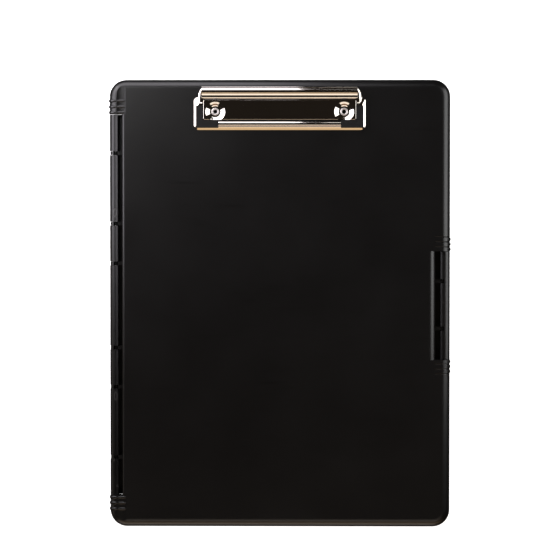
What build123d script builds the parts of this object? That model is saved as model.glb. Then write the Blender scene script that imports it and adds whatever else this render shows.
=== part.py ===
from build123d import *
import os
from math import cos, radians, sin

# Storage clipboard box: a flat two-shell case for letter-size paper, hinged along its left side,
# with a sprung steel clip riveted to its lid.
# Millimetres. X runs across the board, Y along it towards the clip, Z up; the origin is the centre
# of the underside.

os.makedirs("parts", exist_ok=True)

# ---- case ----
CASE_WIDTH = 241.3          # X, without the grip ribs
CASE_LENGTH = 317.5         # Y
CASE_HEIGHT = 12.7          # Z, closed, without the clip
CORNER_RADIUS = 12.0        # corners seen from above
EDGE_RADIUS = 6.0           # rounding of the top and bottom edges
FLOOR = 2.0                 # thickness of the tray's floor
LID_PLATE = 2.2             # thickness of the writing board
BASE_HEIGHT = 6.3           # top of the tray's wall
SHELL_GAP = 0.2             # parting line between the two shells
BASE_WALL = 2.8
LID_SKIRT = 1.6
LIP_GAP = 0.15              # between the tray's lip and the lid's skirt
LIP_HEIGHT = 1.6
TRAY_INNER_RADIUS = 2.0     # rounding between the tray's floor and walls
LID_INNER_RADIUS = 3.5      # the same inside the lid
SIDE_MID_Y = -1.1           # middle of the hinge strip and of the latch recess
HANGING_WALL = 1.6          # walls of the lid that hang into the tray
HANGING_WALL_FOOT = 2.4

# ---- hinge, left side ----
HINGE_X = -116.4
HINGE_Z = CASE_HEIGHT / 2
HINGE_HALF = 135.3          # half the length of the recess in the lid
BARREL_RADIUS = 4.0
STRIP_FACE_X = -114.75      # inner face of the tray's hinge strip
STRIP_FOOT_X = -118.5       # where the strip's web meets the tray's floor
HINGE_WALL_X = -111.8       # outer face of the lid's hanging wall
HINGE_EDGE_RADIUS = 2.1     # rounding of the board's edge along the strip
ROD_RADIUS = 1.0
ROD_CHAMFER = 0.25
PIN_FIT = 0.05              # radial running clearance of every pin
# ridge along the strip, as X and height from the rod's axis: foot of its slope, its crest, its inner edge
RIDGE_LINE = [(-0.5, 3.6), (1.35, 4.13), (1.65, 3.9)]
KNUCKLE_Y = [106.8, 56.9, 28.6, -31.2, -59.1, -109.2]
KNUCKLE_WIDTH = 2.5
KNUCKLE_BOSS = 0.9          # wall round the rod
KNUCKLE_WEB = 1.2           # half the height of the web between the rod and the lid
KNUCKLE_WEB_START = 2.3     # how far the web begins outside the rod's axis
KNUCKLE_ARM_RISE = 3.4      # top of the web above the axis, behind the hinge strip
KNUCKLE_SKIN_Z = (5.0, 10.5)           # height of the skin that fills the strip's slot
KNUCKLE_SKIN_INSET = 1.6    # inner face of that skin, outside the rod's axis
KNUCKLE_GAP = 0.1           # skin to the strip's outline
SLOT_WIDTH = 2.9
SLOT_FLOOR = 2.05
LUG_WIDTH = 8.5             # corner lugs of the lid, coaxial with the rod
LUG_HEIGHT = 12.4
CORNER_WALL_X = -109.7      # outer face of the tray where it makes room for a lug
TROUGH_X = -112.3           # shallow trough between a lug and the board
TROUGH_RADIUS = 12.0
TROUGH_DEPTH = 0.45
TROUGH_LENGTH = 40.0

# ---- latch recess, right side ----
LATCH_WALL_X = 110.4        # outer face of the lid's hanging wall
LATCH_HALF = 38.6
LATCH_EDGE_RADIUS = 4.5     # rounding of the board's edge along the recess
LATCH_STRIP_FACE_X = 114.0
LATCH_STRIP_AXIS_X = 116.6
LATCH_STRIP_FOOT_X = 118.5
LATCH_NOTCH_Y = [16.1, -17.4]
LATCH_NOTCH_WIDTH = 3.0
LATCH_NOTCH_END_X = 116.7
LATCH_NOTCH_FLOOR = 4.0
LATCH_END_ROOM = 3.0        # room past the recess's ends for the lid's end walls
TONGUE_HALF = 1.3           # tongues of the lid that press into the notches
TONGUE_X = (114.6, 116.4)
TONGUE_Z = (4.6, 7.0, 8.6)  # tip, underside of the bridge, top of the bridge

# ---- grip ribs ----
RIB_WIDTH = 2.4
RIB_PROUD = 0.55
RIB_ROUND = 1.1
RIB_RIM_ROUND = 0.9         # the same on the latch side
LUG_RIB_STEPS = [1.35, 5.4, 9.6]       # from the ends of the hinge recess
LUG_RIB_END_X = -108.9
LATCH_RIB_STEPS = [1.3, 4.8, 8.3]      # from the ends of the latch recess
GROOVE_OFFSET = 1.75                   # from a rib's middle to the groove beside it
GROOVE_RADIUS = 0.6
GROOVE_DEPTH = 0.35
GROOVE_START_X = 110.0

# ---- clip ----
BOARD_Z = CASE_HEIGHT
STEEL = 0.8                 # sheet thickness
LEVER_HALF = 60.6           # outline of the lever's rim
LEVER_FRONT_Y = 123.25
LEVER_REAR_Y = 146.1
LEVER_CORNER = 3.6          # front corners of the rim, at its foot
LEVER_SHOULDER = 2.4        # rear corners
LEVER_FOOT = BOARD_Z + 0.2
LEVER_BAND = 0.3            # upright band below the rim's slope
LEVER_TOP = BOARD_Z + 2.25
RIM_SLOPE_SIDE = 2.1        # width of the rim's slope, seen from above
RIM_SLOPE_FRONT = 2.2
RIM_SLOPE_REAR = 4.4
RIM_TOP_CORNER = 1.3        # the same corners at the rim's top
RIM_TOP_SHOULDER = 2.2
# heights of the rim's rings from its foot to its top, with the share of the slopes' width at each
RIM_RINGS = [
    (LEVER_FOOT, 0.0), (LEVER_FOOT + LEVER_BAND, 0.0), (LEVER_TOP - 0.12, 0.9), (LEVER_TOP, 1.05),
]
SLOPE_SHEET = 0.92          # sheet thickness measured upright on the slopes
WINDOW_HALF = 54.6
WINDOW_FRONT_Y = 129.05
BEAD_Y = 127.5              # stiffening bead along the front bar
BEAD_RADIUS = 2.3
BEAD_PROUD = 0.5
LIP_HALF = 55.0             # half the length of the bulge over the pin and of the thumb lip
# Y and height over the board of the sheet's upper side: bulge, hollow, step, top and back of the lip
LIP_PROFILE = [
    (145.4, 4.5), (145.8, 5.4), (146.35, 5.65), (147.5, 5.65), (149.0, 6.35), (149.4, 8.8), (150.1, 8.9),
    (151.4, 8.72), (152.4, 8.12), (152.95, 7.1),
]
LIP_BENDS = [0.3, 1.0, 1.5, 0.5, 0.3, 0.5, 0.4, 0.5]      # radii at the profile's inner points
LIP_RIM = (153.2, 6.85)     # rolled edge of the lip
LIP_RIM_RADIUS = 0.45
CHEEK_FOOT = [(151.2, 2.6), (148.8, 0.8), (145.3, 0.8)]   # Y and height of a cheek's lower edge
# sections across a neck, the flange round a cheek's foot: Y, X at the outside and at the top edge, and the
# heights over the board of its foot, of the outside's upper edge and of its top
NECK_SECTIONS = [
    (142.8, 57.7, 56.5, 0.9, 1.3, 2.15), (145.0, 57.6, 56.5, 0.9, 1.75, 2.65),
    (149.0, 57.2, 56.1, 0.95, 2.7, 3.6), (150.8, 56.4, 55.4, 2.3, 3.2, 4.05),
    (152.2, 55.5, 54.8, 3.4, 3.75, 4.35),
]
CLIP_PIN_Y = 147.0
CLIP_PIN_Z = BOARD_Z + 2.3
CLIP_PIN_RADIUS = 0.9
CLIP_PIN_HALF = 55.4
CLIP_PIN_END_ROOM = 0.1
CLIP_PIN_CHAMFER = 0.2
PLATE_WIDTH = 108.0
PLATE_FRONT_Y = 130.45
PLATE_REAR_Y = 144.6
PLATE_TOP = BOARD_Z + 2.5
PLATE_CORNER = 1.2
PLATE_ROUND = 0.4
EAR_RADIUS = 1.75
RIVET_X = 45.5
RIVET_Y = 136.1
RIVET_HOLE = 2.05
RIVET_SHANK = 1.95
RIVET_BORE = 1.4
RIVET_HEAD = (2.8, 0.9)     # radius, height
RIVET_HEAD_ROUND = 0.66
RIVET_TAIL = (2.7, 0.6)
WASHER_RADIUS = 4.0
WASHER_CHAMFER = 0.2
DISH_WALL = [(3.85, 0.8), (4.7, 1.22), (5.6, 1.8), (7.0, 2.51)]   # radius and height over the board
DISH_BENDS = [0.5, 1.0, 1.0, 0.5]
CUP_RADII = (4.4, 7.9)      # outside of the dish, at the board and at the plate's top
GRIP_OUTER_X = 59.2
GRIP_INNER_X = 43.3
GRIP_FRONT_Y = 124.7
GRIP_LEG_Y = 130.2          # rear edge of a grip's front leg
GRIP_REAR_Y = 140.4
GRIP_FOOT = (BOARD_Z + 0.3, BOARD_Z + 0.8)
GRIP_FLANGE = 0.5           # width of a grip's flange at its rear and inner ends
GRIP_FLANGE_INSET = 0.1     # the flange's outer side, inwards from the grip's
GRIP_PROUD = 0.1            # the grips' tops above the lever's
GRIP_TOP_ROUND = 0.3
WIRE_RADIUS = 0.3
COIL_RADIUS = 1.35
COIL_PITCH = 1.1
COIL_START_X = 25.0
COIL_TURNS = 5 + 30 / 360
FRONT_LEG = 1.8
REAR_LEG = 1.3
REAR_LEG_RISE = radians(30)

LID_BOTTOM = BASE_HEIGHT + SHELL_GAP
LID_CEILING = CASE_HEIGHT - LID_PLATE
HALF_WIDTH = CASE_WIDTH / 2
HALF_LENGTH = CASE_LENGTH / 2
FAR = 2 * CASE_LENGTH       # reach of cuts that go right through


def span_rectangle(x_low, x_high, y_low, y_high, mode=Mode.ADD):
    """A rectangle given by its limits in the sketch."""
    with Locations(((x_low + x_high) / 2, (y_low + y_high) / 2)):
        Rectangle(x_high - x_low, y_high - y_low, mode=mode)


def span_box(x_limits, y_limits, z_limits, mode=Mode.ADD):
    """A box given by its limits, each pair in any order."""
    spans = [sorted(limits) for limits in (x_limits, y_limits, z_limits)]
    with Locations(tuple((low + high) / 2 for low, high in spans)):
        Box(*(high - low for low, high in spans), mode=mode)


def from_side_middle(end, distance):
    """The Y at a distance from the middle of the hinge or latch, towards one end of the case."""
    return SIDE_MID_Y + end * distance


def section_at(y):
    """The cross-section plane at y, with sketch axes X and Z."""
    return Plane.XZ.offset(-y)


def bore_along_y(x, z, radius, length):
    with Locations((x, SIDE_MID_Y, z)):
        Cylinder(radius, length, rotation=(90, 0, 0), mode=Mode.SUBTRACT)


def bore_along_x(y, z, radius, length):
    with Locations((0, y, z)):
        Cylinder(radius, length, rotation=(0, 90, 0), mode=Mode.SUBTRACT)


def round_board_edge(x_wall, inward, radius, half_length):
    """Rounds the board's top edge along a recess; inward is 1 where the board lies towards +X."""
    x_centre = x_wall + inward * radius
    limits = sorted([x_wall - inward, x_centre])
    with BuildSketch(section_at(SIDE_MID_Y)) as spandrel:
        span_rectangle(limits[0], limits[1], CASE_HEIGHT - radius, CASE_HEIGHT + 1)
        with Locations((x_centre, CASE_HEIGHT - radius)):
            Circle(radius, mode=Mode.SUBTRACT)
    extrude(spandrel.sketch, amount=half_length, both=True, mode=Mode.SUBTRACT)


# ---- grip ribs of the right side: discs with rounded rims, kept where they stand on a shell ----
def edge_ribs(z_axis, z_limits, x_low):
    x_axis = HALF_WIDTH + RIB_PROUD - EDGE_RADIUS
    with BuildPart() as ribs:
        for end in (1, -1):
            for step in LATCH_RIB_STEPS:
                with Locations((x_axis, from_side_middle(end, LATCH_HALF + step), z_axis)):
                    Cylinder(EDGE_RADIUS, RIB_WIDTH, rotation=(90, 0, 0))
        fillet(ribs.edges().filter_by(GeomType.CIRCLE), RIB_RIM_ROUND)
        span_box((x_low, HALF_WIDTH + 2), (-FAR, FAR), z_limits, mode=Mode.INTERSECT)
    return ribs.part


base_ribs = edge_ribs(EDGE_RADIUS + 0.2, (0.0, BASE_HEIGHT), HALF_WIDTH - BASE_WALL + 0.5)
lid_ribs = edge_ribs(
    CASE_HEIGHT - EDGE_RADIUS - 0.2, (LID_BOTTOM, CASE_HEIGHT), HALF_WIDTH - LID_SKIRT + 0.25,
)


# ---- tray: moulded lower shell with the hinge strip, its slots and the latch strip ----
with BuildPart() as base_tray:
    with BuildSketch(Plane.XY):
        RectangleRounded(CASE_WIDTH, CASE_LENGTH, CORNER_RADIUS)
    extrude(amount=BASE_HEIGHT)
    fillet(base_tray.faces().sort_by(Axis.Z)[0].edges(), EDGE_RADIUS)
    tray_width = CASE_WIDTH - 2 * BASE_WALL
    tray_length = CASE_LENGTH - 2 * BASE_WALL
    with BuildSketch(Plane.XY.offset(FLOOR)):
        RectangleRounded(tray_width, tray_length, CORNER_RADIUS - BASE_WALL)
    extrude(amount=CASE_HEIGHT, mode=Mode.SUBTRACT)
    fillet(base_tray.edges().filter_by_position(Axis.Z, FLOOR - 0.01, FLOOR + 0.01), TRAY_INNER_RADIUS)
    # lip that centres the lid
    lip_inset = LID_SKIRT + LIP_GAP
    with BuildSketch(Plane.XY.offset(BASE_HEIGHT)):
        RectangleRounded(CASE_WIDTH - 2 * lip_inset, CASE_LENGTH - 2 * lip_inset, CORNER_RADIUS - lip_inset)
        RectangleRounded(tray_width, tray_length, CORNER_RADIUS - BASE_WALL, mode=Mode.SUBTRACT)
    extrude(amount=LIP_HEIGHT)
    # room for the lid's corner lugs, closed by a wall
    for end in (1, -1):
        span_box(
            (-CASE_WIDTH, CORNER_WALL_X), (from_side_middle(end, HINGE_HALF - 0.1), end * FAR), (-1, FAR),
            mode=Mode.SUBTRACT,
        )
        span_box(
            (CORNER_WALL_X, CORNER_WALL_X + HANGING_WALL),
            (from_side_middle(end, HINGE_HALF + 0.3), end * (HALF_LENGTH - 1.8)),
            (FLOOR / 2, BASE_HEIGHT + LIP_HEIGHT),
        )
    # hinge strip round the rod, with a low ridge along its inner edge
    strip_half = HINGE_HALF - 0.1
    ridge_foot, ridge_crest, ridge_end = [(HINGE_X + across, HINGE_Z + rise) for across, rise in RIDGE_LINE]
    with BuildSketch(section_at(SIDE_MID_Y)):
        with Locations((HINGE_X, HINGE_Z)):
            Circle(BARREL_RADIUS)
        span_rectangle(STRIP_FOOT_X, STRIP_FACE_X, FLOOR / 2, HINGE_Z)
        span_rectangle(STRIP_FACE_X, STRIP_FACE_X + BARREL_RADIUS, -1, CASE_HEIGHT, mode=Mode.SUBTRACT)
        below = [(ridge_end[0], HINGE_Z), (ridge_foot[0], HINGE_Z)]
        Polygon(ridge_foot, ridge_crest, ridge_end, *below, align=None)
        Polygon(ridge_foot, ridge_crest, (ridge_foot[0], ridge_crest[1]), align=None, mode=Mode.SUBTRACT)
    extrude(amount=strip_half, both=True)
    for y in KNUCKLE_Y:
        span_box(
            (-CASE_WIDTH, STRIP_FACE_X + 0.1), (y - SLOT_WIDTH / 2, y + SLOT_WIDTH / 2),
            (SLOT_FLOOR, CASE_HEIGHT), mode=Mode.SUBTRACT,
        )
    bore_along_y(HINGE_X, HINGE_Z, ROD_RADIUS + PIN_FIT, 2 * HINGE_HALF)
    # latch strip with two notches, and the walls at its ends
    latch_strip_half = LATCH_HALF - 0.3
    with BuildSketch(section_at(SIDE_MID_Y)):
        with Locations((LATCH_STRIP_AXIS_X, HINGE_Z)):
            Circle(BARREL_RADIUS)
        span_rectangle(LATCH_STRIP_FACE_X, LATCH_STRIP_FOOT_X, FLOOR / 2, HINGE_Z)
        inner_x = LATCH_STRIP_FACE_X - BARREL_RADIUS
        span_rectangle(inner_x, LATCH_STRIP_FACE_X, -1, CASE_HEIGHT, mode=Mode.SUBTRACT)
    extrude(amount=latch_strip_half, both=True)
    for y in LATCH_NOTCH_Y:
        span_box(
            (LATCH_STRIP_FACE_X - 0.1, LATCH_NOTCH_END_X),
            (y - LATCH_NOTCH_WIDTH / 2, y + LATCH_NOTCH_WIDTH / 2),
            (LATCH_NOTCH_FLOOR, CASE_HEIGHT), mode=Mode.SUBTRACT,
        )
    for end in (1, -1):
        span_box(
            (LATCH_WALL_X + HANGING_WALL, HALF_WIDTH + 2),
            (from_side_middle(end, latch_strip_half), from_side_middle(end, LATCH_HALF + LATCH_END_ROOM)),
            (BASE_HEIGHT, CASE_HEIGHT), mode=Mode.SUBTRACT,
        )
        span_box(
            (LATCH_WALL_X + 0.3, LATCH_STRIP_FOOT_X),
            (from_side_middle(end, LATCH_HALF - 0.5), from_side_middle(end, LATCH_HALF + HANGING_WALL)),
            (FLOOR / 2, BASE_HEIGHT),
        )
    add(base_ribs)

base_tray.part.label = "base_tray"
export_step(base_tray.part, "parts/base_tray.step")


# ---- corner lugs of the lid: round-ended bars about the rod's axis, cut to the case's outline ----
with BuildPart() as corner_lugs:
    with BuildSketch(Plane.XY):
        RectangleRounded(CASE_WIDTH, CASE_LENGTH, CORNER_RADIUS)
    extrude(amount=CASE_HEIGHT)
    fillet(corner_lugs.edges().filter_by(Axis.Z, reverse=True), EDGE_RADIUS)
    with BuildSketch(section_at(0)):
        with Locations((HINGE_X, HINGE_Z)):
            SlotOverall(LUG_HEIGHT, LUG_WIDTH, rotation=90)
        span_rectangle(HINGE_X, HINGE_WALL_X + 0.7, LID_BOTTOM, CASE_HEIGHT)
    extrude(amount=CASE_LENGTH, both=True, mode=Mode.INTERSECT)
    lug_start = HINGE_HALF + 0.1
    span_box(
        (-CASE_WIDTH, 0), (from_side_middle(-1, lug_start), from_side_middle(1, lug_start)), (-1, FAR),
        mode=Mode.SUBTRACT,
    )

# ---- ribs round the lugs, level with the board ----
with BuildPart() as lug_ribs:
    for end in (1, -1):
        for step in LUG_RIB_STEPS:
            with BuildSketch(section_at(from_side_middle(end, HINGE_HALF + step))):
                with Locations((HINGE_X, HINGE_Z)):
                    SlotOverall(CASE_HEIGHT - 0.02, LUG_WIDTH + 2 * RIB_PROUD, rotation=90)
            extrude(amount=RIB_WIDTH / 2, both=True)
    fillet(lug_ribs.faces().filter_by(Plane.XZ).edges(), RIB_ROUND)

with BuildPart() as trough_ribs:
    for end in (1, -1):
        for step in LUG_RIB_STEPS:
            rib_y = from_side_middle(end, HINGE_HALF + step)
            with Locations(((HINGE_X + LUG_RIB_END_X) / 2, rib_y, CASE_HEIGHT - RIB_WIDTH / 2 - 0.01)):
                Cylinder(RIB_WIDTH / 2, LUG_RIB_END_X - HINGE_X, rotation=(0, 90, 0))


# ---- grooves between the grip ribs of the lid's right side: over the board, then down its edge ----
with BuildPart() as grip_grooves:
    bend_x = HALF_WIDTH - EDGE_RADIUS
    bend_z = CASE_HEIGHT - EDGE_RADIUS
    groove_reach = EDGE_RADIUS + GROOVE_RADIUS - GROOVE_DEPTH
    for end in (1, -1):
        for step in LATCH_RIB_STEPS:
            groove_y = from_side_middle(end, LATCH_HALF + step + GROOVE_OFFSET)
            with Locations((bend_x, groove_y, bend_z)):
                Torus(groove_reach, GROOVE_RADIUS, rotation=(90, 0, 0))
    span_box((bend_x, FAR), (-FAR, FAR), (LID_BOTTOM, FAR), mode=Mode.INTERSECT)
    for end in (1, -1):
        for step in LATCH_RIB_STEPS:
            groove_y = from_side_middle(end, LATCH_HALF + step + GROOVE_OFFSET)
            with Locations(((GROOVE_START_X + bend_x) / 2, groove_y, bend_z + groove_reach)):
                Cylinder(GROOVE_RADIUS, bend_x - GROOVE_START_X, rotation=(0, 90, 0))


# ---- lid: moulded upper shell and writing board ----
with BuildPart() as lid_shell:
    with BuildSketch(Plane.XY.offset(LID_BOTTOM)):
        RectangleRounded(CASE_WIDTH, CASE_LENGTH, CORNER_RADIUS)
    extrude(amount=CASE_HEIGHT - LID_BOTTOM)
    fillet(lid_shell.faces().sort_by(Axis.Z)[-1].edges(), EDGE_RADIUS)
    with BuildSketch(Plane.XY.offset(LID_BOTTOM)):
        RectangleRounded(CASE_WIDTH - 2 * LID_SKIRT, CASE_LENGTH - 2 * LID_SKIRT, CORNER_RADIUS - LID_SKIRT)
    extrude(amount=LID_CEILING - LID_BOTTOM, mode=Mode.SUBTRACT)
    ceiling_edges = lid_shell.edges().filter_by_position(Axis.Z, LID_CEILING - 0.01, LID_CEILING + 0.01)
    fillet(ceiling_edges, LID_INNER_RADIUS)
    # hinge side: the board ends short of the hinge strip, in a wall that hangs into the tray
    span_box((-CASE_WIDTH, HINGE_WALL_X), (-FAR, FAR), (0, FAR), mode=Mode.SUBTRACT)
    round_board_edge(HINGE_WALL_X, 1, HINGE_EDGE_RADIUS, HINGE_HALF + 0.1)
    hinge_wall_half = HINGE_HALF - 0.3
    span_box(
        (HINGE_WALL_X, HINGE_WALL_X + HANGING_WALL),
        (from_side_middle(-1, hinge_wall_half), from_side_middle(1, hinge_wall_half)),
        (HANGING_WALL_FOOT, LID_CEILING + 0.1),
    )
    add(corner_lugs.part)
    # shallow trough between the lugs and the board, crossed by the ribs
    for end in (1, -1):
        trough_y = from_side_middle(end, lug_start + TROUGH_LENGTH / 2)
        with Locations((TROUGH_X, trough_y, CASE_HEIGHT - TROUGH_DEPTH + TROUGH_RADIUS)):
            Cylinder(TROUGH_RADIUS, TROUGH_LENGTH, rotation=(90, 0, 0), mode=Mode.SUBTRACT)
    add(lug_ribs.part)
    add(trough_ribs.part)
    # latch side: finger recess, its hanging wall and its end walls
    latch_wall_half = LATCH_HALF + HANGING_WALL
    recess_y = (from_side_middle(-1, LATCH_HALF), from_side_middle(1, LATCH_HALF))
    latch_wall_y = (from_side_middle(-1, latch_wall_half), from_side_middle(1, latch_wall_half))
    shoulder_z = CASE_HEIGHT - LATCH_EDGE_RADIUS
    span_box((LATCH_WALL_X, CASE_WIDTH), recess_y, (0, FAR), mode=Mode.SUBTRACT)
    round_board_edge(LATCH_WALL_X, -1, LATCH_EDGE_RADIUS, LATCH_HALF)
    span_box((LATCH_WALL_X - HANGING_WALL, LATCH_WALL_X), latch_wall_y, (HANGING_WALL_FOOT, shoulder_z))
    span_box(
        (LATCH_WALL_X - HANGING_WALL - 1.0, LATCH_WALL_X - 1.0), latch_wall_y,
        (shoulder_z - HANGING_WALL, LID_CEILING + 0.1),
    )
    for end in (1, -1):
        end_wall_y = (from_side_middle(end, LATCH_HALF), from_side_middle(end, latch_wall_half))
        span_box((LATCH_WALL_X - 0.5, HALF_WIDTH - LID_SKIRT), end_wall_y, (LID_BOTTOM, LID_CEILING))
    # knuckles that hold the rod, each flush with the hinge strip on its outer side
    for y in KNUCKLE_Y:
        with BuildSketch(section_at(y)):
            with Locations((HINGE_X, HINGE_Z)):
                Circle(BARREL_RADIUS - KNUCKLE_GAP)
            skin_x = (HINGE_X - BARREL_RADIUS, HINGE_X - KNUCKLE_SKIN_INSET)
            span_rectangle(*skin_x, *KNUCKLE_SKIN_Z, mode=Mode.INTERSECT)
            with Locations((HINGE_X, HINGE_Z)):
                Circle(ROD_RADIUS + KNUCKLE_BOSS)
            web_x = (HINGE_X - KNUCKLE_WEB_START, HINGE_WALL_X + 0.5)
            web_foot = HINGE_Z - KNUCKLE_WEB
            span_rectangle(*web_x, web_foot, HINGE_Z + KNUCKLE_WEB)
            span_rectangle(STRIP_FACE_X - 0.2, web_x[1], web_foot, HINGE_Z + KNUCKLE_ARM_RISE)
            with Locations((HINGE_X, HINGE_Z)):
                Circle(ROD_RADIUS + PIN_FIT, mode=Mode.SUBTRACT)
        extrude(amount=KNUCKLE_WIDTH / 2, both=True)
    # two tongues that press into the latch strip's notches
    tongue_tip, bridge_low, bridge_high = TONGUE_Z
    for y in LATCH_NOTCH_Y:
        tongue_y = (y - TONGUE_HALF, y + TONGUE_HALF)
        span_box((LATCH_WALL_X - 2.0, TONGUE_X[1]), tongue_y, (bridge_low, bridge_high))
        span_box(TONGUE_X, tongue_y, (tongue_tip, bridge_low + 0.1))
    # grip ribs and their grooves, and holes for the clip's rivets
    add(lid_ribs)
    add(grip_grooves.part, mode=Mode.SUBTRACT)
    with Locations((RIVET_X, RIVET_Y, CASE_HEIGHT - 1), (-RIVET_X, RIVET_Y, CASE_HEIGHT - 1)):
        Cylinder(RIVET_HOLE, 2 * LID_PLATE, mode=Mode.SUBTRACT)

lid_shell.part.label = "lid_shell"
export_step(lid_shell.part, "parts/lid_shell.step")


# ---- hinge rod ----
with BuildPart() as hinge_rod:
    with Locations((HINGE_X, SIDE_MID_Y, HINGE_Z)):
        Cylinder(ROD_RADIUS, 2 * (HINGE_HALF - 0.4), rotation=(90, 0, 0))
    chamfer(hinge_rod.edges().filter_by(GeomType.CIRCLE), ROD_CHAMFER)

hinge_rod.part.label = "hinge_rod"
export_step(hinge_rod.part, "parts/hinge_rod.step")


# ---- cups that the plate's dishes are pressed into ----
plate_depth = PLATE_REAR_Y - PLATE_FRONT_Y
plate_mid_y = (PLATE_REAR_Y + PLATE_FRONT_Y) / 2
with BuildPart() as dish_cups:
    for side in (1, -1):
        with Locations((side * RIVET_X, RIVET_Y, (BOARD_Z + PLATE_TOP) / 2)):
            Cone(*CUP_RADII, PLATE_TOP - BOARD_Z)
    cup_half = PLATE_WIDTH / 2 - STEEL / 2
    span_box(
        (-cup_half, cup_half), (PLATE_FRONT_Y + STEEL / 2, PLATE_REAR_Y - STEEL / 2),
        (BOARD_Z, PLATE_TOP - STEEL / 2), mode=Mode.INTERSECT,
    )

# ---- space of one dish: flat floor, wall that bends out of it and over into the plate's top ----
dish_wall = [(radius, BOARD_Z + height) for radius, height in DISH_WALL]
dish_floor = dish_wall[0][1]
dish_brim = dish_wall[-1][1]
with BuildPart() as dish_space:
    with BuildSketch(Plane.XZ):
        with BuildLine():
            brim_end = (CUP_RADII[1], dish_brim)
            FilletPolyline((0, dish_floor), *dish_wall, brim_end, radius=DISH_BENDS)
            Polyline(brim_end, (CUP_RADII[1], dish_brim + 1), (0, dish_brim + 1), (0, dish_floor))
        make_face()
    revolve(axis=Axis.Z)

# ---- clip mounting plate: pressed steel tray, upside down, with a dish for each rivet ----
with BuildPart() as clip_mounting_plate:
    with BuildSketch(Plane.XY.offset(BOARD_Z)):
        with Locations((0, plate_mid_y)):
            RectangleRounded(PLATE_WIDTH, plate_depth, PLATE_CORNER)
    extrude(amount=PLATE_TOP - BOARD_Z)
    fillet(clip_mounting_plate.faces().sort_by(Axis.Z)[-1].edges(), PLATE_ROUND)
    with BuildSketch(Plane.XY.offset(BOARD_Z)):
        with Locations((0, plate_mid_y)):
            RectangleRounded(PLATE_WIDTH - 2 * STEEL, plate_depth - 2 * STEEL, PLATE_CORNER - STEEL)
    extrude(amount=PLATE_TOP - BOARD_Z - STEEL, mode=Mode.SUBTRACT)
    add(dish_cups.part)
    for side in (1, -1):
        add(dish_space.part.moved(Location((side * RIVET_X, RIVET_Y, 0))), mode=Mode.SUBTRACT)
        with Locations((side * RIVET_X, RIVET_Y, BOARD_Z)):
            Cylinder(RIVET_HOLE, 4 * STEEL, mode=Mode.SUBTRACT)
        # ear that holds the clip's pin, bent down from the plate's side
        with BuildSketch(Plane.YZ.offset(side * (PLATE_WIDTH - STEEL) / 2)):
            with Locations((CLIP_PIN_Y, CLIP_PIN_Z)):
                Circle(EAR_RADIUS)
            span_rectangle(PLATE_REAR_Y - 2.0, CLIP_PIN_Y, BOARD_Z + 0.6, PLATE_TOP - PLATE_ROUND)
        extrude(amount=STEEL / 2, both=True)
    bore_along_x(CLIP_PIN_Y, CLIP_PIN_Z, CLIP_PIN_RADIUS + PIN_FIT, 2 * LEVER_HALF)

clip_mounting_plate.part.label = "clip_mounting_plate"
export_step(clip_mounting_plate.part, "parts/clip_mounting_plate.step")


# ---- rim of the clip lever: a rounded rectangle whose edges slope up on all sides ----
def rim_block(drop):
    """The rim's outer shape, lowered by drop; the sheet lies between two of them."""
    with BuildPart() as block:
        for z, share in RIM_RINGS:
            front = LEVER_FRONT_Y + share * RIM_SLOPE_FRONT
            rear = LEVER_REAR_Y - share * RIM_SLOPE_REAR
            with BuildSketch(Plane.XY.offset(z - drop)) as ring:
                with Locations((0, (front + rear) / 2)):
                    Rectangle(2 * (LEVER_HALF - share * RIM_SLOPE_SIDE), rear - front)
                shoulder_radius = LEVER_SHOULDER + share * (RIM_TOP_SHOULDER - LEVER_SHOULDER)
                fillet(ring.vertices().group_by(Axis.Y)[-1], shoulder_radius)
                front_radius = LEVER_CORNER + share * (RIM_TOP_CORNER - LEVER_CORNER)
                fillet(ring.vertices().group_by(Axis.Y)[0], front_radius)
        loft(ruled=True)
    return block.part


# ---- neck of the clip lever, right side: a sloped flange that climbs along the foot of the cheek ----
with BuildPart() as right_neck:
    inner_x = LIP_HALF - STEEL
    for y, outer_x, top_x, foot, edge, top in NECK_SECTIONS:
        section = [(inner_x, foot), (outer_x, foot), (outer_x, edge), (top_x, top), (inner_x, top)]
        with BuildSketch(Plane(origin=(0, y, BOARD_Z), x_dir=(1, 0, 0), z_dir=(0, -1, 0))):
            Polygon(*section, align=None)
    loft(ruled=True)

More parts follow.
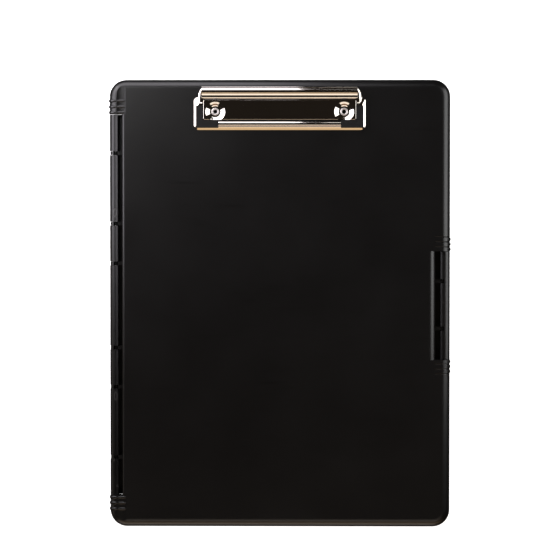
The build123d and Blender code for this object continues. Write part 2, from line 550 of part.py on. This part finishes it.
# ---- clip lever: pressed steel frame with a bead, a bulge over the pin, two cheeks and a thumb lip ----
rim_outside = rim_block(0)
rim_inside = rim_block(SLOPE_SHEET)
with BuildPart() as clip_lever:
    add(rim_outside)
    # bead along the front bar
    bead_z = LEVER_TOP + BEAD_PROUD - BEAD_RADIUS
    with Locations((0, BEAD_Y, bead_z)):
        Cylinder(BEAD_RADIUS, 2 * GRIP_INNER_X, rotation=(0, 90, 0))
    span_box((-FAR, FAR), (-FAR, FAR), (LEVER_FOOT, FAR), mode=Mode.INTERSECT)
    add(rim_inside, mode=Mode.SUBTRACT)
    with Locations((0, BEAD_Y, bead_z)):
        Cylinder(BEAD_RADIUS - STEEL, 2 * (GRIP_INNER_X - STEEL), rotation=(0, 90, 0), mode=Mode.SUBTRACT)
    # window over the mounting plate, and openings for the corner grips
    span_box((-WINDOW_HALF, WINDOW_HALF), (WINDOW_FRONT_Y, FAR), (0, FAR), mode=Mode.SUBTRACT)
    for side in (1, -1):
        side_leg_x = (side * (WINDOW_HALF - 1), side * GRIP_OUTER_X)
        front_leg_x = (side * GRIP_INNER_X, side * GRIP_OUTER_X)
        span_box(side_leg_x, (GRIP_FRONT_Y, GRIP_REAR_Y), (0, FAR), mode=Mode.SUBTRACT)
        span_box(front_leg_x, (GRIP_FRONT_Y, WINDOW_FRONT_Y + 1), (0, FAR), mode=Mode.SUBTRACT)
    # bulge over the pin, hollow and thumb lip
    lip_points = [(y, BOARD_Z + height) for y, height in LIP_PROFILE]
    with BuildSketch(Plane.YZ.offset(-LIP_HALF)):
        with BuildLine():
            FilletPolyline(*lip_points, radius=LIP_BENDS)
            offset(amount=STEEL, side=Side.RIGHT)
        make_face()
        with Locations((LIP_RIM[0], BOARD_Z + LIP_RIM[1])):
            Circle(LIP_RIM_RADIUS)
    extrude(amount=2 * LIP_HALF)
    # cheeks that close the ends of the lip and carry it on the pin, and their necks
    for side in (1, -1):
        with BuildSketch(Plane.YZ.offset(side * (LIP_HALF - STEEL / 2))):
            with BuildLine():
                FilletPolyline(*lip_points, radius=LIP_BENDS)
                Polyline(lip_points[-1], *((y, BOARD_Z + height) for y, height in CHEEK_FOOT), lip_points[0])
            make_face()
        extrude(amount=STEEL / 2, both=True)
    add(right_neck.part)
    add(right_neck.part.mirror(Plane.YZ))
    bore_length = 2 * (CLIP_PIN_HALF + CLIP_PIN_END_ROOM)
    bore_along_x(CLIP_PIN_Y, CLIP_PIN_Z, CLIP_PIN_RADIUS + PIN_FIT, bore_length)

clip_lever.part.label = "clip_lever"
export_step(clip_lever.part, "parts/clip_lever.step")


# ---- clip pin, riveted flush at its ends ----
with BuildPart() as clip_hinge_pin:
    with Locations((0, CLIP_PIN_Y, CLIP_PIN_Z)):
        Cylinder(CLIP_PIN_RADIUS, 2 * CLIP_PIN_HALF, rotation=(0, 90, 0))
    chamfer(clip_hinge_pin.edges().filter_by(GeomType.CIRCLE), CLIP_PIN_CHAMFER)

clip_hinge_pin.part.label = "clip_hinge_pin"
export_step(clip_hinge_pin.part, "parts/clip_hinge_pin.step")


# ---- torsion springs, corner grips, rivets and rivet washers: one of each per side ----
for side, name in ((1, "right"), (-1, "left")):
    # coil round the pin; the rear leg lifts the lip, the front leg presses on the board
    coil_length = COIL_PITCH * COIL_TURNS
    coil_start = side * COIL_START_X - (coil_length if side < 0 else 0)
    coil_plane = Plane(origin=(coil_start, CLIP_PIN_Y, CLIP_PIN_Z), x_dir=(0, 0, -1), z_dir=(1, 0, 0))
    coil = coil_plane.from_local_coords(Edge.make_helix(COIL_PITCH, coil_length, COIL_RADIUS))
    with BuildPart() as clip_spring:
        with BuildSketch(Plane(origin=coil @ 0, z_dir=coil % 0)):
            Circle(WIRE_RADIUS)
        sweep(path=coil, is_frenet=True)
        with BuildSketch(Plane(origin=coil @ 0, z_dir=(0, -1, 0))):
            Circle(WIRE_RADIUS)
        extrude(amount=FRONT_LEG)
        with BuildSketch(Plane(origin=coil @ 1, z_dir=(0, cos(REAR_LEG_RISE), sin(REAR_LEG_RISE)))):
            Circle(WIRE_RADIUS)
        extrude(amount=REAR_LEG)
        with Locations(coil @ 0, coil @ 1):
            Sphere(WIRE_RADIUS)
    clip_spring.part.label = f"clip_spring_{name}"
    export_step(clip_spring.part, f"parts/clip_spring_{name}.step")

    # L-shaped rubber grip that fills the lever's corner opening, with a flange under the sheet
    side_leg_x = (side * WINDOW_HALF, side * GRIP_OUTER_X)
    front_leg_x = (side * GRIP_INNER_X, side * GRIP_OUTER_X)
    grip_z = (GRIP_FOOT[0], LEVER_TOP + GRIP_PROUD)
    with BuildPart() as corner_grip:
        span_box(side_leg_x, (GRIP_FRONT_Y, GRIP_REAR_Y), grip_z)
        span_box(front_leg_x, (GRIP_FRONT_Y, GRIP_LEG_Y), grip_z)
        fillet(corner_grip.faces().sort_by(Axis.Z)[-1].edges(), GRIP_TOP_ROUND)
        flange_x = side * (GRIP_OUTER_X - GRIP_FLANGE_INSET)
        span_box((side * WINDOW_HALF, flange_x), (GRIP_FRONT_Y, GRIP_REAR_Y + GRIP_FLANGE), GRIP_FOOT)
        flange_inner_x = side * (GRIP_INNER_X - GRIP_FLANGE)
        span_box((flange_inner_x, flange_x), (GRIP_FRONT_Y, GRIP_LEG_Y), GRIP_FOOT)
    corner_grip.part.label = f"corner_grip_{name}"
    export_step(corner_grip.part, f"parts/corner_grip_{name}.step")

    # tubular rivet: rolled head in the dish, shank through the board, flared tail under the washer
    head_radius, head_height = RIVET_HEAD
    tail_radius, tail_height = RIVET_TAIL
    head_foot = BOARD_Z + STEEL
    tail_foot = LID_CEILING - STEEL - tail_height
    with BuildPart() as clip_rivet:
        with Locations((side * RIVET_X, RIVET_Y, head_foot + head_height / 2)):
            Cylinder(head_radius, head_height)
        with Locations((side * RIVET_X, RIVET_Y, (head_foot + tail_foot) / 2)):
            Cylinder(RIVET_SHANK, head_foot - tail_foot)
        with Locations((side * RIVET_X, RIVET_Y, tail_foot + tail_height / 2)):
            Cylinder(tail_radius, tail_height)
        with Locations((side * RIVET_X, RIVET_Y, BOARD_Z)):
            Cylinder(RIVET_BORE, CASE_HEIGHT, mode=Mode.SUBTRACT)
        fillet(clip_rivet.faces().sort_by(Axis.Z)[-1].edges(), RIVET_HEAD_ROUND)
    clip_rivet.part.label = f"clip_rivet_{name}"
    export_step(clip_rivet.part, f"parts/clip_rivet_{name}.step")

    with BuildPart() as rivet_washer:
        with Locations((side * RIVET_X, RIVET_Y, LID_CEILING - STEEL / 2)):
            Cylinder(WASHER_RADIUS, STEEL)
            Cylinder(RIVET_HOLE, STEEL, mode=Mode.SUBTRACT)
        chamfer(rivet_washer.faces().sort_by(Axis.Z)[0].outer_wire().edges(), WASHER_CHAMFER)
    rivet_washer.part.label = f"rivet_washer_{name}"
    export_step(rivet_washer.part, f"parts/rivet_washer_{name}.step")
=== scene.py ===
import bpy
import numpy as np
from mathutils import Matrix, Vector

# Storage clipboard box: a black moulded case for letter paper with a chromed clip on its lid, from above.
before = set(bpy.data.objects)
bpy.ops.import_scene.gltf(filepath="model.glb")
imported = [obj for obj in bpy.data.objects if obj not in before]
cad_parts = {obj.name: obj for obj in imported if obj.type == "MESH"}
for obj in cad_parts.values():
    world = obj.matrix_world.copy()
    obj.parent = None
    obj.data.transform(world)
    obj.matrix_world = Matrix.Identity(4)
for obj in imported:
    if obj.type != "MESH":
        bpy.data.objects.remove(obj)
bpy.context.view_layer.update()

# ---- camera ----
# The photograph looks down on the board from far off, clip at the top, a few degrees off the upright, so
# that the clip's end of the case is a little larger. A long lens two metres away gives that view.
MM = 0.001
PIXELS = 560                            # width and height of the photograph
CASE_CENTRE_PIXEL = (279.7, 304.1)      # the case's centre in the photograph, from its top left corner
METRES_PER_PIXEL = 0.7084 * MM          # in the plane of the board
BOARD_Z = 12.7 * MM
LEAN = (0.0146, 0.042)                  # how far the line of sight goes to +X and to +Y for each metre up
SENSOR = 36 * MM
LENS = 200 * MM
FARTHEST_SEEN = 10.0
aim = Vector((
    (PIXELS / 2 - CASE_CENTRE_PIXEL[0]) * METRES_PER_PIXEL,
    (CASE_CENTRE_PIXEL[1] - PIXELS / 2) * METRES_PER_PIXEL,
    BOARD_Z,
))
look_from = Vector((*LEAN, 1.0)).normalized()
camera_data = bpy.data.cameras.new("photo_camera")
camera_data.lens = LENS / MM
camera_data.sensor_width = SENSOR / MM
camera_data.sensor_fit = "HORIZONTAL"
camera_data.clip_end = FARTHEST_SEEN
camera = bpy.data.objects.new("photo_camera", camera_data)
camera.location = aim + look_from * (LENS * PIXELS * METRES_PER_PIXEL / SENSOR)
camera_right = Vector((0, 1, 0)).cross(look_from).normalized()
camera_up = look_from.cross(camera_right)
camera.rotation_euler = Matrix((camera_right, camera_up, look_from)).transposed().to_euler()
bpy.context.scene.collection.objects.link(camera)
bpy.context.scene.camera = camera

# ---- floor and studio light ----
# White paper on a table, lit until it is plain white, with softboxes to its left, behind it and to its right.
# Low cards light the case's lower edges, warm cards stand one over another in front, and a small lamp hangs
# over the corner beside the clip, where the board has its soft sheen.
FLOOR_HALF = 1.6
FLOOR_SINK = 0.2 * MM       # keeps the paper just clear of the case's underside
FLOOR_GLOW = 1.05           # takes the paper past white
OVERHEAD_SIDE = 0.09
OVERHEAD_BRIGHTNESS = 8.5
OVERHEAD_PLACE = (-0.19, 0.22, 0.38)
ROOM_BRIGHTNESS = 0.5


def srgb(code):
    """Linear red, green, blue and alpha of an sRGB hex colour: each channel c, from 0 to 1, is c / 12.92 up
    to 0.04045 and ((c + 0.055) / 1.055) to the power 2.4 above it."""
    channels = [int(code[i : i + 2], 16) / 255 for i in (1, 3, 5)]
    return [c / 12.92 if c <= 0.04045 else ((c + 0.055) / 1.055) ** 2.4 for c in channels] + [1.0]


def new_finish(name, constants):
    """A new material with these constants on its shader's own sockets; gives back the material, its node tree
    and its shader."""
    made = bpy.data.materials.new(name)
    made.use_nodes = True
    shader = made.node_tree.nodes["Principled BSDF"]
    for socket, value in constants.items():
        shader.inputs[socket].default_value = value
    return made, made.node_tree, shader


def softbox(name, left, right, foot, top, brightness, colour="#ffffff"):
    """An upright rectangular lamp between the left and right ends of its foot line, from the height foot to
    the height top, that faces the board. Its power in watts is pi times its area times its brightness."""
    left, right = Vector((*left, 0)), Vector((*right, 0))
    across, centre = (right - left).normalized(), (left + right) / 2
    outward = Vector((across.y, -across.x, 0))
    if outward.dot(centre) < 0:
        outward = -outward
    data = bpy.data.lights.new(name, "AREA")
    data.shape = "RECTANGLE"
    data.size = (right - left).length
    data.size_y = top - foot
    data.energy = np.pi * data.size * data.size_y * brightness
    data.color = srgb(colour)[:3]
    made = bpy.data.objects.new(name, data)
    made.location = (centre.x, centre.y, (foot + top) / 2)
    made.rotation_euler = outward.to_track_quat("Z", "Y").to_euler()
    bpy.context.scene.collection.objects.link(made)


floor_mesh = bpy.data.meshes.new("floor")
floor_corners = np.array([(-1, -1), (1, -1), (1, 1), (-1, 1)]) * FLOOR_HALF
floor_mesh.from_pydata(np.column_stack([floor_corners, np.zeros(4)]).tolist(), [], [(0, 1, 2, 3)])
floor = bpy.data.objects.new("floor", floor_mesh)
floor.location.z = -FLOOR_SINK
floor.visible_glossy = False
bpy.context.scene.collection.objects.link(floor)
# Uncoated white paper: flat and matt, with no highlight of its own.
floor_paper, _, _ = new_finish("matt_white_paper", {
    "Base Color": srgb("#f4f4f4"), "Roughness": 0.9, "Specular IOR Level": 0.1,
    "Emission Color": srgb("#ffffff"), "Emission Strength": FLOOR_GLOW,
})
floor_mesh.materials.append(floor_paper)

softbox("back_softbox", (-0.42, 0.36), (0.012, 0.36), foot=0.03, top=0.3, brightness=4.1, colour="#fcf8ff")
softbox("left_softbox", (-0.36, 0.03), (-0.36, 0.42), foot=0.03, top=0.4, brightness=4.8, colour="#fcf8ff")
softbox("right_softbox", (0.4, -0.06), (0.4, 0.34), foot=0.03, top=0.42, brightness=3.5)
softbox("back_right_strip", (0.03, 0.36), (0.085, 0.36), foot=0.2, top=0.275, brightness=2.0)
softbox("low_left_card", (-0.21, -0.2), (-0.21, 0.05), foot=0.0, top=0.03, brightness=0.75, colour="#fff0e0")
softbox(
    "low_front_card", (-0.16, -0.21), (0.12, -0.21), foot=0.0, top=0.026, brightness=1.35, colour="#fff2ea",
)
softbox("gold_front_card", (-0.5, -0.7), (0.5, -0.7), foot=0.03, top=0.34, brightness=0.95, colour="#ffd9a8")
softbox("amber_front_card", (-0.3, -0.72), (0.3, -0.72), foot=0.36, top=0.6, brightness=0.3, colour="#ffc090")
softbox("pale_front_card", (-0.5, -0.74), (0.5, -0.74), foot=0.66, top=1.3, brightness=1.5, colour="#fff0e0")
overhead_data = bpy.data.lights.new("corner_overhead", "AREA")
overhead_data.size = OVERHEAD_SIDE
overhead_data.energy = np.pi * OVERHEAD_SIDE**2 * OVERHEAD_BRIGHTNESS
overhead = bpy.data.objects.new("corner_overhead", overhead_data)
overhead.location = OVERHEAD_PLACE
overhead.visible_camera = False
bpy.context.scene.collection.objects.link(overhead)
world = bpy.data.worlds.new("studio")
bpy.context.scene.world = world
world.use_nodes = True
world.node_tree.nodes["Background"].inputs["Color"].default_value = srgb("#322c26")
world.node_tree.nodes["Background"].inputs["Strength"].default_value = ROOM_BRIGHTNESS
bpy.context.scene.view_settings.view_transform = "Standard"

# ---- base tray ----
# The lower half of the case: black polypropylene, injection moulded in one piece with its hinge strip. From
# above its sides show as narrow strips beside the lid, with faint ejector pin marks: shallow grooves whose
# rings are painted lighter, a painted highlight where their rims would catch the light.
POLYPROPYLENE_IOR = 1.49
PLASTIC_ROUGHNESS = (0.3, 0.38)     # from the smoother to the duller patches
FLOW_PATCH_TRAY = 33 * MM           # patches that the plastic leaves as it cools
MOULD_GRAIN = 0.45 * MM             # the real grain is about 0.1 mm, too fine to show, so it is drawn coarser
MOULD_GRAIN_DEPTH = 0.1 * MM
EJECTOR_MARKS = (                   # centre X and Y, half width and half length, in millimetres
    (-117.1, 64.8, 1.1, 3.2), (-116.6, -65.6, 1.1, 3.2), (-118.2, -110.6, 0.8, 1.6),
    (-115.5, -129.8, 0.7, 0.7), (116.2, 0.8, 0.6, 0.6),
)
MARK_RING = 0.85                    # the painted highlight ring's middle, as a share of the mark's half size
MARK_RING_CORE = 0.05               # on either side of it the ring is fully painted light up to here
MARK_RING_EDGE = 0.3                # and fades out up to here
MARK_DEPTH = 0.1 * MM               # of the shallow groove that the ring is drawn as


def node(tree, kind, settings=None, **links):
    """Adds a node of this kind. Settings are its properties by name and its sockets' values by name or
    number; links join its sockets to other nodes' outputs, where _6 stands for the socket with number 6."""
    made = tree.nodes.new(kind)
    for key, value in (settings or {}).items():
        if isinstance(key, str) and hasattr(made, key):
            setattr(made, key, value)
        else:
            made.inputs[key].default_value = value
    for key, source in links.items():
        socket = int(key[1:]) if key.startswith("_") else key
        tree.links.new(source, made.inputs[socket])
    return made


def moulded_skin(tree, where, flow_patch, flow_detail, light):
    """The skin of black plastic from a spark-eroded mould: a slow noise, the plastic's flow, runs the colour
    from near black to light and the roughness from low to high, and a fast noise, the mould's grain, bumps
    the surface. Gives back the outputs for colour, roughness and normal, for a piece to add its own marks."""
    flow = node(
        tree, "ShaderNodeTexNoise", {"Scale": 1 / flow_patch, "Detail": flow_detail}, Vector=where,
    ).outputs["Fac"]
    tone = node(
        tree, "ShaderNodeMix", {"data_type": "RGBA", 6: srgb("#070606"), 7: srgb(light)}, Factor=flow,
    )
    low, high = PLASTIC_ROUGHNESS
    sheen = node(tree, "ShaderNodeMapRange", {"To Min": low, "To Max": high}, Value=flow)
    grain = node(
        tree, "ShaderNodeTexNoise", {"Scale": 1 / MOULD_GRAIN, "Detail": 2.0}, Vector=where,
    ).outputs["Fac"]
    relief = node(tree, "ShaderNodeBump", {"Strength": 0.12, "Distance": MOULD_GRAIN_DEPTH}, Height=grain)
    return tone.outputs[2], sheen.outputs["Result"], relief.outputs["Normal"]


# Black polypropylene from a spark-eroded mould: nearly black, with a soft low sheen that is a little uneven.
tray_plastic, tree, shader = new_finish("polypropylene_black_moulded_matt", {"IOR": POLYPROPYLENE_IOR})
where = node(tree, "ShaderNodeTexCoord").outputs["Object"]
tone, sheen, relief = moulded_skin(tree, where, FLOW_PATCH_TRAY, 3.0, "#0d0c0c")
tree.links.new(sheen, shader.inputs["Roughness"])
# A mark is an ellipse: the distance from its centre in half widths and half lengths is 1 on its outline, and
# the ring is 1 where that distance is MARK_RING and fades to 0 on both sides of it. The ring both presses a
# shallow groove and is painted lighter as a painted highlight of that groove's rim.
marks = None
for x, y, half_width, half_length in EJECTOR_MARKS:
    offset = node(
        tree, "ShaderNodeVectorMath", {"operation": "SUBTRACT", 1: (x * MM, y * MM, 0)}, _0=where,
    )
    scaled = node(
        tree, "ShaderNodeVectorMath",
        {"operation": "MULTIPLY", 1: (1 / (half_width * MM), 1 / (half_length * MM), 0)},
        _0=offset.outputs["Vector"],
    )
    reach = node(tree, "ShaderNodeVectorMath", {"operation": "LENGTH"}, _0=scaled.outputs["Vector"])
    past_ring = node(
        tree, "ShaderNodeMath", {"operation": "SUBTRACT", 1: MARK_RING}, _0=reach.outputs["Value"],
    )
    from_ring = node(tree, "ShaderNodeMath", {"operation": "ABSOLUTE"}, _0=past_ring.outputs[0])
    ring = node(
        tree, "ShaderNodeMapRange",
        {"From Min": MARK_RING_CORE, "From Max": MARK_RING_EDGE, "To Min": 1.0, "To Max": 0.0},
        Value=from_ring.outputs[0],
    ).outputs["Result"]
    if marks is None:
        marks = ring
    else:
        marks = node(tree, "ShaderNodeMath", {"operation": "MAXIMUM"}, _0=marks, _1=ring).outputs[0]
# Painted highlight: the rings lighten the plastic's colour where the grooves' rims would catch the light.
mark_highlight_tone = node(
    tree, "ShaderNodeMix", {"data_type": "RGBA", 7: srgb("#3a3838")}, Factor=marks, _6=tone,
)
tree.links.new(mark_highlight_tone.outputs[2], shader.inputs["Base Color"])
pressed = node(
    tree, "ShaderNodeBump", {"Strength": 0.5, "Distance": MARK_DEPTH, "invert": True}, Height=marks,
    Normal=relief,
)
tree.links.new(pressed.outputs["Normal"], shader.inputs["Normal"])
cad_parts["base_tray"].material_slots[0].material = tray_plastic

# ---- lid ----
# The upper half of the case, whose flat top is the writing board: the same black polypropylene, moulded in
# one piece with the knuckles that turn on the hinge rod and the tongues that catch in the latch strip.
FLOW_PATCH_LID = 45 * MM
SCUFF_LENGTH = 25 * MM              # left by sheets that slide across the board
SCUFF_WIDTH = 1.1 * MM              # real scuffs are hair-fine, so they are drawn wider
SCUFF_FROM, SCUFF_FULL = 0.6, 0.75  # noise values where a scuff begins and where it is at its smoothest
SCUFF_POLISH = 0.05                 # what the smoothest scuff takes off the roughness
# The same matt plastic over a wide flat face: black, with a soft grey sheen where the light comes in, and
# scuffs that only show as faint streaks in that sheen.
lid_plastic, tree, shader = new_finish("polypropylene_black_writing_board", {"IOR": POLYPROPYLENE_IOR})
where = node(tree, "ShaderNodeTexCoord").outputs["Object"]
tone, sheen, relief = moulded_skin(tree, where, FLOW_PATCH_LID, 4.0, "#0c0b0b")
tree.links.new(tone, shader.inputs["Base Color"])
tree.links.new(relief, shader.inputs["Normal"])
stretched = node(
    tree, "ShaderNodeMapping", {"Scale": (1 / SCUFF_LENGTH, 1 / SCUFF_WIDTH, 1 / SCUFF_LENGTH)}, Vector=where,
)
scuffs = node(tree, "ShaderNodeTexNoise", {"Scale": 1.0, "Detail": 3.0}, Vector=stretched.outputs["Vector"])
rubbed = node(
    tree, "ShaderNodeMapRange",
    {"From Min": SCUFF_FROM, "From Max": SCUFF_FULL, "To Min": 0.0, "To Max": SCUFF_POLISH},
    Value=scuffs.outputs["Fac"],
)
scuffed = node(
    tree, "ShaderNodeMath", {"operation": "SUBTRACT"}, _0=sheen, _1=rubbed.outputs["Result"],
)
tree.links.new(scuffed.outputs[0], shader.inputs["Roughness"])
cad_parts["lid_shell"].material_slots[0].material = lid_plastic

# ---- hinge rod, clip pin and springs ----
# Drawn steel: a straight rod along the case's left side, a thin pin through the clip's cheeks, riveted flush
# at its ends, and two torsion springs wound of wire on that pin.
DRAWING_MARK = 1.1 * MM     # the die's real marks are a few hundredths of a millimetre, drawn coarser to show
STEEL_ROUGHNESS = (0.22, 0.38)


def colour_metal(tree, shader, tone_pattern, dark, light, dull_pattern, roughness):
    """Colours and dulls a metal by two patterns that run from 0 to 1: the colour is dark plus the pattern
    times light less dark, and the roughness goes from its first to its second value in the same way."""
    tone = node(
        tree, "ShaderNodeMix", {"data_type": "RGBA", 6: srgb(dark), 7: srgb(light)}, Factor=tone_pattern,
    )
    tree.links.new(tone.outputs[2], shader.inputs["Base Color"])
    low, high = roughness
    dull = node(tree, "ShaderNodeMapRange", {"To Min": low, "To Max": high}, Value=dull_pattern)
    tree.links.new(dull.outputs["Result"], shader.inputs["Roughness"])


# Steel as it leaves the die: plain grey metal, half bright, finely uneven.
wire_steel, tree, shader = new_finish("spring_steel_drawn", {"Metallic": 1.0})
where = node(tree, "ShaderNodeTexCoord").outputs["Object"]
drawn = node(
    tree, "ShaderNodeTexNoise", {"Scale": 1 / DRAWING_MARK, "Detail": 4.0}, Vector=where,
).outputs["Fac"]
colour_metal(tree, shader, drawn, "#969490", "#b6b4b0", drawn, STEEL_ROUGHNESS)
for name in ("hinge_rod", "clip_hinge_pin", "clip_spring_left", "clip_spring_right"):
    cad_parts[name].material_slots[0].material = wire_steel

# ---- clip's mounting plate and lever ----
# Sheet steel, pressed and then plated with bright nickel and chrome; the plate is riveted to the board and
# the lever turns on the pin.
SHEET_WAVE = 6.25 * MM      # slow waves that pressing leaves in the sheet
SHEET_WAVE_DEPTH = 0.2 * MM
WIPE_LENGTH = 16.7 * MM     # polishing marks along the clip
WIPE_WIDTH = 0.417 * MM     # the real ones are about 0.05 mm, drawn wider to show
CHROME_ROUGHNESS = (0.04, 0.13)
# Polished plating: a mirror with a slight warmth, so its bands are the softboxes and cards round the board,
# a little softened by the polishing marks and bent by the sheet's waves.
clip_chrome, tree, shader = new_finish("nickel_chrome_plate_polished", {"Metallic": 1.0})
where = node(tree, "ShaderNodeTexCoord").outputs["Object"]
cloud = node(
    tree, "ShaderNodeTexNoise", {"Scale": 1 / SHEET_WAVE, "Detail": 3.0}, Vector=where,
).outputs["Fac"]
stretched = node(
    tree, "ShaderNodeMapping", {"Scale": (1 / WIPE_LENGTH, 1 / WIPE_WIDTH, 1 / WIPE_WIDTH)}, Vector=where,
)
wiped = node(
    tree, "ShaderNodeTexNoise", {"Scale": 1.0, "Detail": 3.0}, Vector=stretched.outputs["Vector"],
).outputs["Fac"]
colour_metal(tree, shader, cloud, "#d4cdc4", "#ded9d3", wiped, CHROME_ROUGHNESS)
waves = node(tree, "ShaderNodeBump", {"Strength": 0.06, "Distance": SHEET_WAVE_DEPTH}, Height=cloud)
tree.links.new(waves.outputs["Normal"], shader.inputs["Normal"])
for name in ("clip_mounting_plate", "clip_lever"):
    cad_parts[name].material_slots[0].material = clip_chrome

# ---- corner grips ----
# Two L-shaped pads of black rubber, moulded and then pushed into the lever's corner openings from below, so
# that the clip doesn't slip on the paper.
RUBBER_PIT = 0.7 * MM       # real pits are about 0.2 mm, drawn coarser to show
RUBBER_PIT_DEPTH = 0.1 * MM
# Filled black rubber: dull and even, with less shine than the board's plastic and a finely pitted skin.
grip_rubber, tree, shader = new_finish("rubber_moulded_black", {
    "Roughness": 0.75, "Specular IOR Level": 0.3,
})
where = node(tree, "ShaderNodeTexCoord").outputs["Object"]
pits = node(
    tree, "ShaderNodeTexNoise", {"Scale": 1 / RUBBER_PIT, "Detail": 3.0}, Vector=where,
).outputs["Fac"]
tone = node(
    tree, "ShaderNodeMix", {"data_type": "RGBA", 6: srgb("#080707"), 7: srgb("#0c0b0b")}, Factor=pits,
)
tree.links.new(tone.outputs[2], shader.inputs["Base Color"])
pitted = node(tree, "ShaderNodeBump", {"Strength": 0.25, "Distance": RUBBER_PIT_DEPTH}, Height=pits)
tree.links.new(pitted.outputs["Normal"], shader.inputs["Normal"])
for name in ("corner_grip_left", "corner_grip_right"):
    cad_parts[name].material_slots[0].material = grip_rubber

# ---- rivets ----
# Tubular steel rivets, nickel plated, that hold the mounting plate to the board. Each has a rolled head in
# the plate's dish, a shank through the board and a flared tail inside the lid.
ROLLING_MARK = 0.9 * MM     # real marks are about 0.1 mm, drawn coarser to show
NICKEL_ROUGHNESS = (0.4, 0.56)
# Satin nickel: pale and bright, but soft, so the heads show as light rings with no sharp reflections.
rivet_nickel, tree, shader = new_finish("nickel_satin", {"Metallic": 1.0})
where = node(tree, "ShaderNodeTexCoord").outputs["Object"]
rolled = node(
    tree, "ShaderNodeTexNoise", {"Scale": 1 / ROLLING_MARK, "Detail": 2.0}, Vector=where,
).outputs["Fac"]
colour_metal(tree, shader, rolled, "#d6d0ce", "#e8e3e1", rolled, NICKEL_ROUGHNESS)
for name in ("clip_rivet_left", "clip_rivet_right"):
    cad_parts[name].material_slots[0].material = rivet_nickel

# ---- rivet washers ----
# Flat rings stamped from sheet steel and zinc plated. They lie inside the lid, between its ceiling and the
# rivets' flared tails, and spread the rivets' pull over the plastic.
ZINC_CRYSTAL = 0.67 * MM    # real crystals are far finer, drawn coarser to show
ZINC_ROUGHNESS = (0.35, 0.5)
# Clear zinc plating: blue-grey and rather dull, with a faint mottling of crystals.
washer_zinc, tree, shader = new_finish("zinc_plate_clear", {"Metallic": 1.0})
where = node(tree, "ShaderNodeTexCoord").outputs["Object"]
crystals = node(tree, "ShaderNodeTexVoronoi", {"Scale": 1 / ZINC_CRYSTAL}, Vector=where).outputs["Distance"]
colour_metal(tree, shader, crystals, "#9fa2a4", "#b9bcbe", crystals, ZINC_ROUGHNESS)
for name in ("rivet_washer_left", "rivet_washer_right"):
    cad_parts[name].material_slots[0].material = washer_zinc
